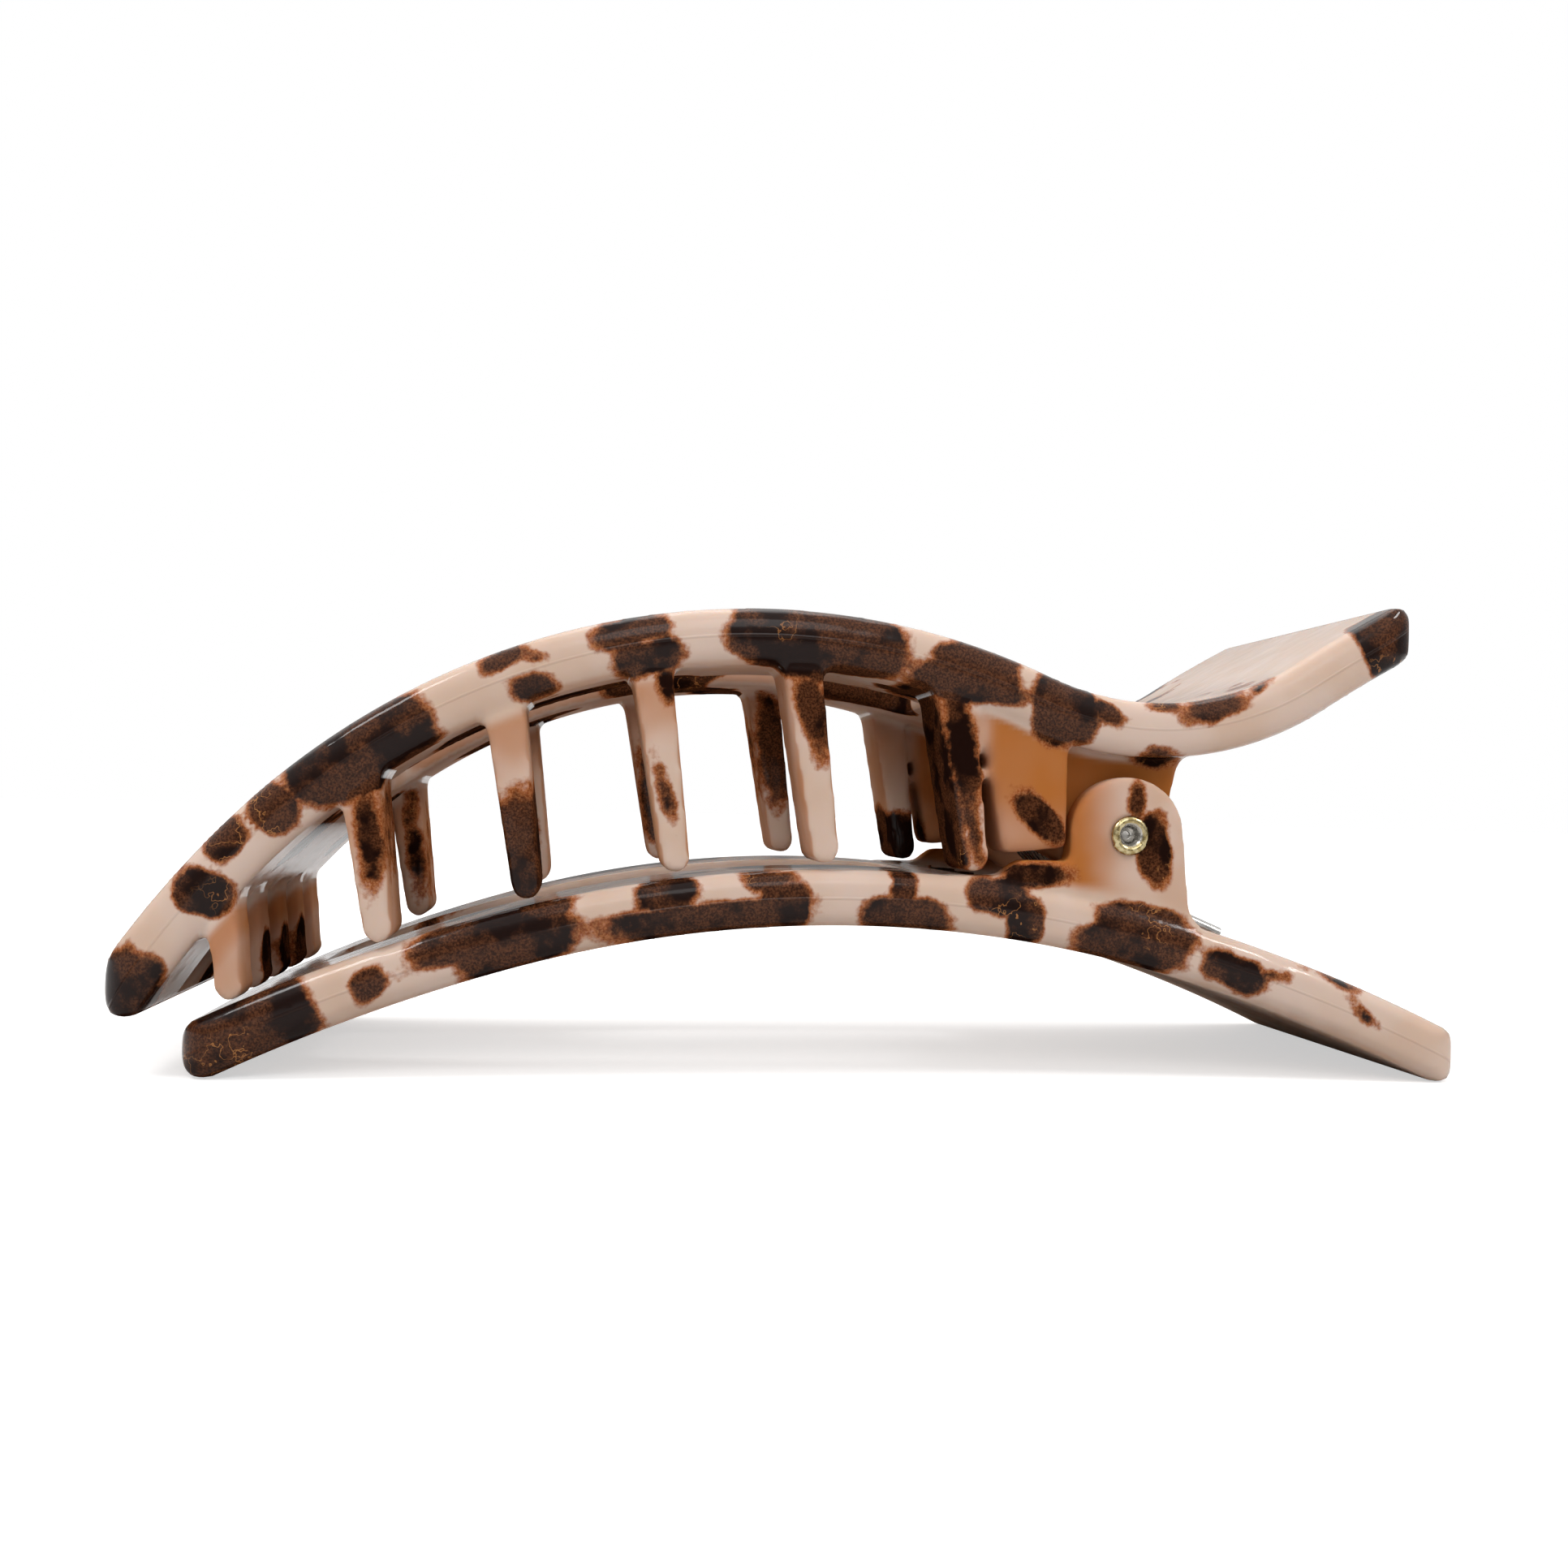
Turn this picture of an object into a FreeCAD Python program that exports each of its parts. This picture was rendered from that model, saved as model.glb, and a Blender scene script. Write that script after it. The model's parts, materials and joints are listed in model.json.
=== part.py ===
import FreeCAD, Part
import math
import os
import Sketcher
from FreeCAD import Placement, Rotation, Vector

# Flat claw clip for hair: two moulded jaws on one rivet, closed by a torsion spring.
# Frame: X runs from the toothed tip (-X) to the thumb tab (+X), Y is the clip's width, Z is up.
# The origin is the middle of the footprint, on the surface that the clip stands on. Millimetres.

SIZES = {
    # both jaws
    "clip_width": 37.5,
    "jaw_thickness": 4.5,
    "rim_width": 12.5,
    "edge_round": 1.2,
    "end_round": 1.9,
    "window_round": 2.5,
    # upper jaw: the middle surface, as arcs that follow each other from the low point of its saddle
    "saddle_place": 28.0,
    "saddle_radius": 24.6,
    "saddle_front_turn": 23.3,
    "saddle_rear_turn": 33.3,
    "hump_radius": 56.0,
    "hump_turn": 69.4,
    "tip_radius": 73.8,
    "tip_turn": 14.0,
    "tab_radius": 119.0,
    "tab_turn": 7.0,
    "upper_front_end": -55.0,
    "upper_rear_end": 51.1,
    "upper_front_top_round": 3.0,
    "upper_front_corner": 3.2,
    "upper_rear_corner": 4.0,
    "upper_window_front": -35.8,
    "upper_window_rear": 11.2,
    # lower jaw: the same, from its highest point
    "crown_place": 2.8,
    "crown_radius": 100.0,
    "crown_front_turn": 15.9,
    "crown_rear_turn": 14.3,
    "base_front_radius": 144.0,
    "base_front_turn": 11.5,
    "base_rear_radius": 142.0,
    "base_rear_turn": 14.0,
    "lower_front_end": -49.1,
    "lower_rear_end": 55.2,
    "lower_front_corner": 3.0,
    "lower_rear_corner": 3.2,
    "lower_window_front": -40.0,
    "lower_window_rear": 9.5,
    # teeth
    "tooth_count": 5,
    "tooth_last_place": 12.88,
    "tooth_pitch": 11.3,
    "tooth_pitch_growth": 0.33,
    "tooth_lean": 8.3,
    "tooth_tip_width": 2.3,
    "tooth_root_width": 3.3,
    "tooth_depth": 7.5,
    "tooth_inset": 0.3,
    "tooth_tip_gap": 0.5,
    "comb_count": 5,
    "comb_place": -45.3,
    "comb_lean": 6.6,
    "comb_tip_width": 2.1,
    "comb_root_width": 2.5,
    "comb_depth": 4.6,
    "comb_tip_gap": 0.35,
    # hinge
    "pin_place": 25.8,
    "pin_rise": 8.25,
    "ear_radius": 4.75,
    "ear_inset": 0.6,
    "ear_thickness": 3.0,
    "ear_gap": 0.25,
    "saddle_gap": 1.7,
    "ear_foot_reach": 8.3,
    "ear_flare": 2.3,
    "ear_flare_rise": 1.4,
    "ear_flare_bend_reach": 0.45,
    "ear_flare_bend_rise": 0.55,
    "knuckle_radius": 4.6,
    "knuckle_web_reach": 9.5,
    "knuckle_rear_reach": 6.8,
    "knuckle_chin_angle": 225.0,
    "knuckle_waist_share": 0.2,
    "stop_gap": 0.35,
    "stop_width": 8.0,
    "stop_rest_gap": 0.5,
    "stop_undercut": 0.6,
    "stop_inset": 0.9,
    "stop_toe_share": 0.33,
    "wall_rise": 2.7,
    "wall_reach": 15.2,
    "wall_ramp": 1.6,
    "wall_tooth_gap": 0.25,
    # rivet
    "rivet_radius": 1.15,
    "rivet_bore_radius": 0.75,
    "rivet_bore_depth": 2.2,
    "rivet_clearance": 0.05,
    "flange_radius": 1.58,
    "flange_height": 0.5,
    "head_radius": 2.1,
    "head_height": 0.5,
    # spring
    "spring_wire": 1.1,
    "coil_radius": 3.2,
    "coil_turns": 9,
    "coil_pitch": 1.18,
    "leg_length": 15.5,
    "leg_gap": 0.12,
}

TINY = 1e-9
EXACT = 1e-5
SPARE = 12.0
ROUNDS = 50
STEEPEST_LEG = math.pi / 3
KNUCKLE_INNER = "(sizes.clip_width / 2 - sizes.ear_inset - 2 * sizes.ear_thickness - sizes.ear_gap)"

doc = FreeCAD.newDocument("hair_claw_clip")
sheet = doc.addObject("Spreadsheet::Sheet", "sizes")
for row, (alias, value) in enumerate(SIZES.items(), start=1):
    sheet.set(f"A{row}", alias)
    sheet.set(f"B{row}", str(value))
    sheet.setAlias(f"B{row}", alias)
doc.recompute()


def size(alias):
    return float(sheet.get(alias))


# ---- a jaw's curved middle surface, seen from the side ----


def step_along(start, radius, turn):
    """One arc from start (x, z, heading): a negative radius curves downwards, as a hump does."""
    x, z, heading = start
    centre = (x - radius * math.sin(heading), z + radius * math.cos(heading))
    last = heading + turn
    end = (centre[0] + radius * math.sin(last), centre[1] - radius * math.cos(last), last)
    return (centre, radius, min(heading, last), max(heading, last)), end


def make_sweep(place, height, forwards, backwards):
    """Arcs that run into each other from -X to +X, laid both ways from a level point."""
    arcs = []
    start = (place, height, 0.0)
    for radius, turn in forwards:
        arc, start = step_along(start, radius, math.copysign(math.radians(turn), radius))
        arcs.append(arc)
    start = (place, height, 0.0)
    for radius, turn in backwards:
        arc, start = step_along(start, radius, -math.copysign(math.radians(turn), radius))
        arcs.insert(0, arc)
    return arcs


def height_at(sweep, x, offset=0.0):
    """Height of the sweep, moved up its own normal by offset, at x."""
    for centre, radius, first, last in sweep:
        reach = radius - offset
        share = (x - centre[0]) / reach
        if abs(share) <= 1:
            heading = math.asin(share)
            if first - TINY <= heading <= last + TINY:
                return centre[1] - reach * math.cos(heading)
    raise ValueError(f"the jaw has no surface at x = {x:.1f}")


def sweep_edges(sweep, offset, first_heading, last_heading):
    """The sweep's arcs, moved up their own normals by offset, from one heading in the first arc
    to another in the last."""
    edges = []
    for number, (centre, radius, low, high) in enumerate(sweep):
        reach = radius - offset
        headings = [low, high] if radius > 0 else [high, low]
        if number == 0:
            headings[0] = first_heading
        if number == len(sweep) - 1:
            headings[1] = last_heading
        headings.insert(1, sum(headings) / 2)
        points = [Vector(centre[0] + reach * math.sin(a), centre[1] - reach * math.cos(a), 0) for a in headings]
        edges.append(Part.Arc(*points))
    return edges


half_thickness = size("jaw_thickness") / 2
half_width = size("clip_width") / 2
pin_x = size("pin_place")


def end_corner(sweep, end, sign, corner):
    """Where a jaw's top (1) or bottom (-1) surface is rounded into its square end: the corner's
    centre, the heading at which it leaves the surface, and the way from its centre to there."""
    centre, radius = sweep[0 if end < 0 else -1][:2]
    surface_radius = sign * half_thickness - radius
    span = surface_radius - sign * corner
    x = end + math.copysign(corner, -end)
    z = centre[1] + math.sqrt(span**2 - (x - centre[0]) ** 2)
    outwards = ((x - centre[0]) / span, (z - centre[1]) / span)
    return (x, z), -math.asin(outwards[0]), (sign * outwards[0], sign * outwards[1])


def foot_height(sweep, end):
    """Height of the lowest point of a jaw's rounded bottom corner."""
    (_, z), _, _ = end_corner(sweep, end, -1, size("end_round"))
    return z - size("end_round")


def lower_arcs(height):
    return make_sweep(
        size("crown_place"),
        height,
        [(-size("crown_radius"), size("crown_rear_turn")), (-size("base_rear_radius"), size("base_rear_turn"))],
        [(-size("crown_radius"), size("crown_front_turn")), (-size("base_front_radius"), size("base_front_turn"))],
    )


# The lower jaw stands on its two ends, so its crown is as high as its lower end hangs below it.
flat_sweep = lower_arcs(0.0)
foot_drop = min(foot_height(flat_sweep, size("lower_front_end")), foot_height(flat_sweep, size("lower_rear_end")))
lower_sweep = lower_arcs(-foot_drop)
pin_z = height_at(lower_sweep, pin_x) + size("pin_rise")
saddle_z = pin_z + size("ear_radius") + size("saddle_gap") + half_thickness
upper_sweep = make_sweep(
    size("saddle_place"),
    saddle_z,
    [(size("saddle_radius"), size("saddle_rear_turn")), (-size("tab_radius"), size("tab_turn"))],
    [
        (size("saddle_radius"), size("saddle_front_turn")),
        (-size("hump_radius"), size("hump_turn")),
        (-size("tip_radius"), size("tip_turn")),
    ],
)

# Planes across the clip's width, each named by its distance from the middle.
ear_outer = half_width - size("ear_inset")
ear_inner = ear_outer - size("ear_thickness")
knuckle_outer = ear_inner - size("ear_gap")
knuckle_inner = knuckle_outer - size("ear_thickness")
tooth_outer = half_width - size("tooth_inset")


# ---- how a body is built ----


def new_body(name):
    body = doc.addObject("PartDesign::Body", name)
    body.Label = name
    return body


def origin_plane(body, role):
    return next(item for item in body.Origin.OriginFeatures if item.Role == role)


def new_sketch(body, name, role, offset=0.0):
    """A sketch on one of the body's own planes, moved off it by offset along the plane's normal."""
    sketch = body.newObject("Sketcher::SketchObject", name)
    sketch.AttachmentSupport = [(origin_plane(body, role), "")]
    sketch.MapMode = "FlatFace"
    sketch.AttachmentOffset = Placement(Vector(0, 0, offset), Rotation())
    return sketch


def line(x0, z0, x1, z1):
    return Part.LineSegment(Vector(x0, z0, 0), Vector(x1, z1, 0))


def arc(start, middle, end):
    return Part.Arc(Vector(*start, 0), Vector(*middle, 0), Vector(*end, 0))


def corner_arc(centre, radius, first, last):
    """A quarter or other part of a circle, between two angles in degrees."""
    angles = [math.radians(a) for a in (first, (first + last) / 2, last)]
    return arc(*[(centre[0] + radius * math.cos(a), centre[1] + radius * math.sin(a)) for a in angles])


def add_pad(body, sketch, name, length, symmetric=False):
    """Pads a sketch. length is an expression of the sheet's cells."""
    pad = body.newObject("PartDesign::Pad", name)
    pad.Profile = sketch
    pad.SideType = "Symmetric" if symmetric else "One side"
    pad.setExpression("Length", length)
    doc.recompute()
    return pad


def add_cut(body, sketch, name):
    """Cuts a sketch right through the body, both ways from its plane."""
    before = body.Shape.Volume
    cut = body.newObject("PartDesign::Pocket", name)
    cut.Profile = sketch
    cut.Type = "ThroughAll"
    cut.SideType = "Symmetric"
    doc.recompute()
    if body.Shape.Volume >= before:
        raise ValueError(f"{name} cuts nothing")
    return cut


def add_mirror(body, features, name):
    """The same features on the clip's other side."""
    mirror = body.newObject("PartDesign::Mirrored", name)
    mirror.Originals = features
    mirror.MirrorPlane = (origin_plane(body, "XZ_Plane"), [""])
    body.Tip = mirror
    doc.recompute()
    return mirror


def edges_where(shape, test):
    return [f"Edge{number}" for number, edge in enumerate(shape.Edges, start=1) if test(edge)]


def add_round(body, name, radius, test):
    """Rounds the edges that pass a test. radius is an expression of the sheet's cells."""
    base = body.Tip
    fillet = body.newObject("PartDesign::Fillet", name)
    fillet.Base = (base, edges_where(base.Shape, test))
    fillet.setExpression("Radius", radius)
    doc.recompute()
    return fillet


def middle_of(edge):
    first, last = edge.ParameterRange
    return edge.valueAt((first + last) / 2)


# ---- shapes that both jaws share ----


def corner_edge(corner_place, touch_way, end, corner):
    """The rounded corner itself, from the jaw's surface to its square end."""
    out_way = (math.copysign(1.0, end), 0.0)
    middle = (touch_way[0] + out_way[0], touch_way[1])
    length = math.hypot(*middle)
    ways = (touch_way, (middle[0] / length, middle[1] / length), out_way)
    return [Vector(corner_place[0] + corner * x, corner_place[1] + corner * z, 0) for x, z in ways]


def pad_plate(body, sweep, front, rear, front_top_round):
    """The jaw's curved plate, the same thickness all along, cut square at its two ends."""
    sketch = new_sketch(body, f"{body.Label}_side_view", "XZ_Plane")
    corner = size("end_round")
    surfaces = {}
    corners = {}
    for sign in (1, -1):
        front_round = front_top_round if sign > 0 else corner
        front_place, front_heading, front_way = end_corner(sweep, front, sign, front_round)
        rear_place, rear_heading, rear_way = end_corner(sweep, rear, sign, corner)
        surfaces[sign] = sweep_edges(sweep, sign * half_thickness, front_heading, rear_heading)
        corners[sign] = (
            corner_edge(front_place, front_way, front, front_round),
            corner_edge(rear_place, rear_way, rear, corner),
        )
    outline = surfaces[1] + [Part.Arc(*corners[1][1])]
    outline.append(Part.LineSegment(corners[1][1][2], corners[-1][1][2]))
    outline += [Part.Arc(*reversed(corners[-1][1]))] + surfaces[-1] + [Part.Arc(*corners[-1][0])]
    outline.append(Part.LineSegment(corners[-1][0][2], corners[1][0][2]))
    outline.append(Part.Arc(*reversed(corners[1][0])))
    sketch.addGeometry(outline, False)
    add_pad(body, sketch, f"{body.Label}_plate", "sizes.clip_width", symmetric=True)


def on_side(edge):
    """Whether an edge lies in one of the clip's two sides."""
    return all(abs(abs(point.y) - half_width) < EXACT for point in (middle_of(edge), edge.Vertexes[0].Point))


def cut_end(body, end, corner, name):
    """Rounds the plate's two corners at one end, as seen from above."""
    inwards = math.copysign(1.0, -end)
    tangent = end + inwards * corner
    outside = end - inwards * SPARE
    side = half_width + SPARE
    sketch = new_sketch(body, f"{name}_from_above", "XY_Plane")
    diagonal = corner * (1 - math.sqrt(0.5))
    shape = [
        arc((tangent, -half_width), (end + inwards * diagonal, diagonal - half_width), (end, corner - half_width)),
        line(end, corner - half_width, end, half_width - corner),
        arc((end, half_width - corner), (end + inwards * diagonal, half_width - diagonal), (tangent, half_width)),
        line(tangent, half_width, tangent, side),
        line(tangent, side, outside, side),
        line(outside, side, outside, -side),
        line(outside, -side, tangent, -side),
        line(tangent, -side, tangent, -half_width),
    ]
    sketch.addGeometry(shape, False)
    add_cut(body, sketch, name)


def cut_window(body, front, rear):
    """The opening down the middle of a jaw, between its two rims."""
    sketch = new_sketch(body, f"{body.Label}_window_from_above", "XY_Plane")
    radius = size("window_round")
    side = half_width - size("rim_width")
    shape = [
        line(front + radius, -side, rear - radius, -side),
        corner_arc((rear - radius, radius - side), radius, -90, 0),
        line(rear, radius - side, rear, side - radius),
        corner_arc((rear - radius, side - radius), radius, 0, 90),
        line(rear - radius, side, front + radius, side),
        corner_arc((front + radius, side - radius), radius, 90, 180),
        line(front, side - radius, front, radius - side),
        corner_arc((front + radius, radius - side), radius, 180, 270),
    ]
    sketch.addGeometry(shape, False)
    add_cut(body, sketch, f"{body.Label}_window")


def make_plate(body, sweep, side):
    """The plate with its rounded sides, corners and window. side is upper or lower."""
    front_top_round = size("upper_front_top_round") if side == "upper" else size("end_round")
    pad_plate(body, sweep, size(f"{side}_front_end"), size(f"{side}_rear_end"), front_top_round)
    add_round(body, f"{side}_sides", "sizes.edge_round", on_side)
    cut_end(body, size(f"{side}_front_end"), size(f"{side}_front_corner"), f"{side}_front_cut")
    cut_end(body, size(f"{side}_rear_end"), size(f"{side}_rear_corner"), f"{side}_rear_cut")
    cut_window(body, size(f"{side}_window_front"), size(f"{side}_window_rear"))


def bore_hinge(body):
    """The rivet's hole through both of the jaw's ears, a running fit on its shank."""
    sketch = new_sketch(body, f"{body.Label}_hinge_hole", "XZ_Plane")
    sketch.addGeometry(Part.Circle(Vector(pin_x, pin_z, 0), Vector(0, 0, 1), size("rivet_radius")), False)
    sketch.addConstraint(Sketcher.Constraint("Radius", 0, size("rivet_radius")))
    sketch.renameConstraint(0, "hole_radius")
    sketch.setExpression("Constraints.hole_radius", "sizes.rivet_radius + sizes.rivet_clearance")
    add_cut(body, sketch, f"{body.Label}_hinge_bore")


# ---- upper jaw: plate, teeth, knuckles, stops ----


def tooth_outline(place, tip_z, lean, tip_width, root_width):
    """A tooth from the side: it hangs from the upper jaw's middle surface, leans, and has a round tip."""
    angle = math.radians(lean)
    up = Vector(-math.sin(angle), math.cos(angle), 0)
    across = Vector(math.cos(angle), math.sin(angle), 0)
    tip = Vector(place, tip_z + tip_width / 2, 0)
    rise = 0.0
    for _ in range(ROUNDS):
        rise = (height_at(upper_sweep, tip.x + up.x * rise) - tip.y) / up.y
    root = tip + up * rise
    corners = [root - across * (root_width / 2), tip - across * (tip_width / 2)]
    corners += [tip + across * (tip_width / 2), root + across * (root_width / 2)]
    return [
        Part.LineSegment(corners[0], corners[1]),
        Part.Arc(corners[1], tip - up * (tip_width / 2), corners[2]),
        Part.LineSegment(corners[2], corners[3]),
        Part.LineSegment(corners[3], corners[0]),
    ]


def side_tooth_places():
    """The teeth's places, set forwards from the last one, which stands clear of the lower jaw's ears."""
    places = [size("tooth_last_place")]
    for number in reversed(range(int(size("tooth_count")) - 1)):
        places.insert(0, places[0] - size("tooth_pitch") - number * size("tooth_pitch_growth"))
    return places


def side_tooth_tip(place):
    return height_at(lower_sweep, place, half_thickness) + size("tooth_tip_gap")


def add_side_teeth(body):
    """The row of teeth under the near rim, set just inside the clip's side."""
    sketch = new_sketch(body, "side_teeth_side_view", "XZ_Plane", tooth_outer - size("tooth_depth"))
    widths = (size("tooth_tip_width"), size("tooth_root_width"))
    for place in side_tooth_places():
        sketch.addGeometry(tooth_outline(place, side_tooth_tip(place), size("tooth_lean"), *widths), False)
    return add_pad(body, sketch, "side_teeth", "sizes.tooth_depth")


def add_comb(body):
    """The row of teeth across the front, spread over the clip's width."""
    count = int(size("comb_count"))
    place = size("comb_place")
    tip_z = height_at(lower_sweep, place, half_thickness) + size("comb_tip_gap")
    pitch = (2 * tooth_outer - size("comb_depth")) / (count - 1)
    widths = (size("comb_tip_width"), size("comb_root_width"))
    for number in range(count):
        start = number * pitch - tooth_outer
        sketch = new_sketch(body, f"comb_side_view_{number + 1}", "XZ_Plane", start)
        sketch.addGeometry(tooth_outline(place, tip_z, size("comb_lean"), *widths), False)
        add_pad(body, sketch, f"comb_tooth_{number + 1}", "sizes.comb_depth")


def add_knuckle(body):
    """The upper jaw's near inner ear: a web down to a round knuckle on the rivet."""
    sketch = new_sketch(body, "knuckle_side_view", "XZ_Plane", knuckle_inner)
    radius = size("knuckle_radius")
    front = pin_x - size("knuckle_web_reach")
    rear = pin_x + size("knuckle_rear_reach")
    shoulder = height_at(upper_sweep, rear)
    waist = pin_x + radius
    bend = (waist + (rear - waist) * size("knuckle_waist_share"), (pin_z + shoulder) / 2)
    chin = math.radians(size("knuckle_chin_angle"))
    chin_x = pin_x + radius * math.cos(chin)
    chin_z = pin_z + radius * math.sin(chin)
    shape = [
        line(front, height_at(upper_sweep, front), front, pin_z),
        line(front, pin_z, chin_x, chin_z),
        corner_arc((pin_x, pin_z), radius, size("knuckle_chin_angle"), 360),
        arc((waist, pin_z), bend, (rear, shoulder)),
        line(rear, shoulder, front, height_at(upper_sweep, front)),
    ]
    sketch.addGeometry(shape, False)
    return add_pad(body, sketch, "knuckle", "sizes.ear_thickness")


def wall_top():
    """Height of the low wall in front of the lower jaw's ears."""
    return height_at(lower_sweep, pin_x - size("ear_radius"), half_thickness) + size("wall_rise")


def add_stop(body):
    """The near block in front of the knuckle, which comes down on the lower jaw's low wall."""
    sketch = new_sketch(body, "stop_side_view", "XZ_Plane", knuckle_inner)
    rear = pin_x - size("ear_radius") - size("stop_gap")
    front = rear - size("stop_width")
    foot = wall_top() + size("stop_rest_gap")
    toe = front + size("stop_width") * size("stop_toe_share")
    shape = [
        line(front, height_at(upper_sweep, front), toe, foot),
        line(toe, foot, rear, foot + size("stop_undercut")),
        line(rear, foot + size("stop_undercut"), rear, height_at(upper_sweep, rear)),
        line(rear, height_at(upper_sweep, rear), front, height_at(upper_sweep, front)),
    ]
    sketch.addGeometry(shape, False)
    return add_pad(body, sketch, "stop", "sizes.clip_width / 2 - sizes.stop_inset - " + KNUCKLE_INNER)


upper_jaw = new_body("upper_jaw")
make_plate(upper_jaw, upper_sweep, "upper")
add_comb(upper_jaw)
near_features = [add_side_teeth(upper_jaw), add_knuckle(upper_jaw), add_stop(upper_jaw)]
add_mirror(upper_jaw, near_features, "upper_far_side")
bore_hinge(upper_jaw)


# ---- lower jaw: plate, ears, low walls ----


def add_ear(body):
    """The near outer ear, round over the rivet, with a low wall running forwards from its foot."""
    sketch = new_sketch(body, "ear_side_view", "XZ_Plane", ear_inner)
    radius = size("ear_radius")
    front = pin_x - size("wall_reach")
    last_tooth = side_tooth_places()[-1]
    step = side_tooth_tip(last_tooth) - size("wall_tooth_gap")
    step_end = last_tooth + size("tooth_tip_width")
    ramp_end = step_end + size("wall_ramp")
    ear_front = pin_x - radius
    waist = pin_x + radius
    foot = pin_x + size("ear_foot_reach")
    foot_z = height_at(lower_sweep, foot, half_thickness)
    flare = size("ear_flare")
    flare_top = (waist + flare * size("knuckle_waist_share"), foot_z + flare * size("ear_flare_rise"))
    flare_bend = (waist + flare * size("ear_flare_bend_reach"), foot_z + flare * size("ear_flare_bend_rise"))
    base = height_at(lower_sweep, foot)
    front_base = height_at(lower_sweep, front)
    shape = [
        line(front, front_base, front, step),
        line(front, step, step_end, step),
        line(step_end, step, ramp_end, wall_top()),
        line(ramp_end, wall_top(), ear_front, wall_top()),
        line(ear_front, wall_top(), ear_front, pin_z),
        corner_arc((pin_x, pin_z), radius, 180, 0),
        line(waist, pin_z, *flare_top),
        arc(flare_top, flare_bend, (foot, foot_z)),
        line(foot, foot_z, foot, base),
        line(foot, base, front, front_base),
    ]
    sketch.addGeometry(shape, False)
    return add_pad(body, sketch, "ear", "sizes.ear_thickness")


lower_jaw = new_body("lower_jaw")
make_plate(lower_jaw, lower_sweep, "lower")
add_mirror(lower_jaw, [add_ear(lower_jaw)], "lower_far_side")
bore_hinge(lower_jaw)


# ---- rivet: a semi-tubular brass rivet, headed on the far side and rolled over on the near side ----


def make_rivet():
    body = new_body("hinge_rivet")
    body.Placement = Placement(Vector(pin_x, 0, pin_z), Rotation())
    sketch = new_sketch(body, "rivet_half_section", "YZ_Plane")
    shank = size("rivet_radius")
    bore = size("rivet_bore_radius")
    flange = size("flange_radius")
    near_face = -ear_outer
    near_end = near_face - size("flange_height")
    far_end = ear_outer + size("head_height")
    bore_end = near_end + size("rivet_bore_depth")
    lip = size("flange_height") / 2
    points = [
        (bore_end, 0),
        (bore_end, bore),
        (near_end, bore),
        (near_end, flange - lip),
        (near_end + lip, flange),
        (near_face, flange),
        (near_face, shank),
        (ear_outer, shank),
        (ear_outer, size("head_radius")),
        (ear_outer + lip, size("head_radius")),
        (far_end, size("head_radius") - lip),
        (far_end, 0),
    ]
    for start, end in zip(points, points[1:] + points[:1]):
        sketch.addGeometry(line(*start, *end), False)
    revolution = body.newObject("PartDesign::Revolution", "rivet_turned")
    revolution.Profile = sketch
    revolution.ReferenceAxis = (sketch, ["H_Axis"])
    revolution.Angle = 360
    doc.recompute()
    return body


hinge_rivet = make_rivet()


# ---- spring: a coil of round wire round the rivet, with a leg inside each tab ----


def leg_slope(side):
    """The steepest slope at which all of a leg is inside the upper (1) or the lower (-1) tab. The
    leg is a tangent to the coil."""
    sweep = upper_sweep if side > 0 else lower_sweep
    coil = size("coil_radius")
    length = size("leg_length")
    inside = -side * (half_thickness + size("spring_wire") / 2 + size("leg_gap"))
    low, high = 0.0, STEEPEST_LEG
    for _ in range(ROUNDS):
        slope = (low + high) / 2
        room = []
        for number in range(ROUNDS + 1):
            reach = length * number / ROUNDS
            x = pin_x - coil * math.sin(slope) + reach * math.cos(slope)
            z = pin_z + side * (coil * math.cos(slope) + reach * math.sin(slope))
            room.append(side * (height_at(sweep, x, inside) - z))
        if min(room) > 0:
            low = slope
        else:
            high = slope
    return low


def make_spring():
    """The wire comes in along the lower leg, winds round the rivet and leaves along the upper leg."""
    coil = size("coil_radius")
    pitch = size("coil_pitch")
    upper_angle = math.pi / 2 + leg_slope(1)
    lower_angle = 3 * math.pi / 2 - leg_slope(-1)
    turns = size("coil_turns") + (lower_angle - upper_angle) / (2 * math.pi)
    helix = Part.makeHelix(pitch, turns * pitch, coil)
    helix.Placement = Placement(Vector(0, 0, 0), Rotation(Vector(0, 0, 1), math.degrees(upper_angle)))
    winding = helix.Edges[0]
    start, end = winding.ParameterRange
    lead_in, lead_out = [winding.tangentAt(place) * size("leg_length") for place in (start, end)]
    upper_leg = Part.makeLine(winding.valueAt(start) - lead_in, winding.valueAt(start))
    lower_leg = Part.makeLine(winding.valueAt(end), winding.valueAt(end) + lead_out)
    path = Part.Wire([upper_leg, winding, lower_leg])
    tip = upper_leg.Vertexes[0].Point
    section = Part.Wire(Part.Circle(tip, lead_in, size("spring_wire") / 2).toShape())
    shape = path.makePipeShell([section], True, True)
    spring = doc.addObject("Part::Feature", "torsion_spring")
    spring.Label = "torsion_spring"
    spring.Shape = shape
    spring.Placement = Placement(Vector(pin_x, turns * pitch / 2, pin_z), Rotation(Vector(1, 0, 0), 90))
    return spring


torsion_spring = make_spring()


# ---- checks and files ----

doc.recompute()
for item in doc.Objects:
    if any(word in item.State for word in ("Invalid", "Error")):
        raise ValueError(f"{item.Label} did not build: {item.State}")

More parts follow.
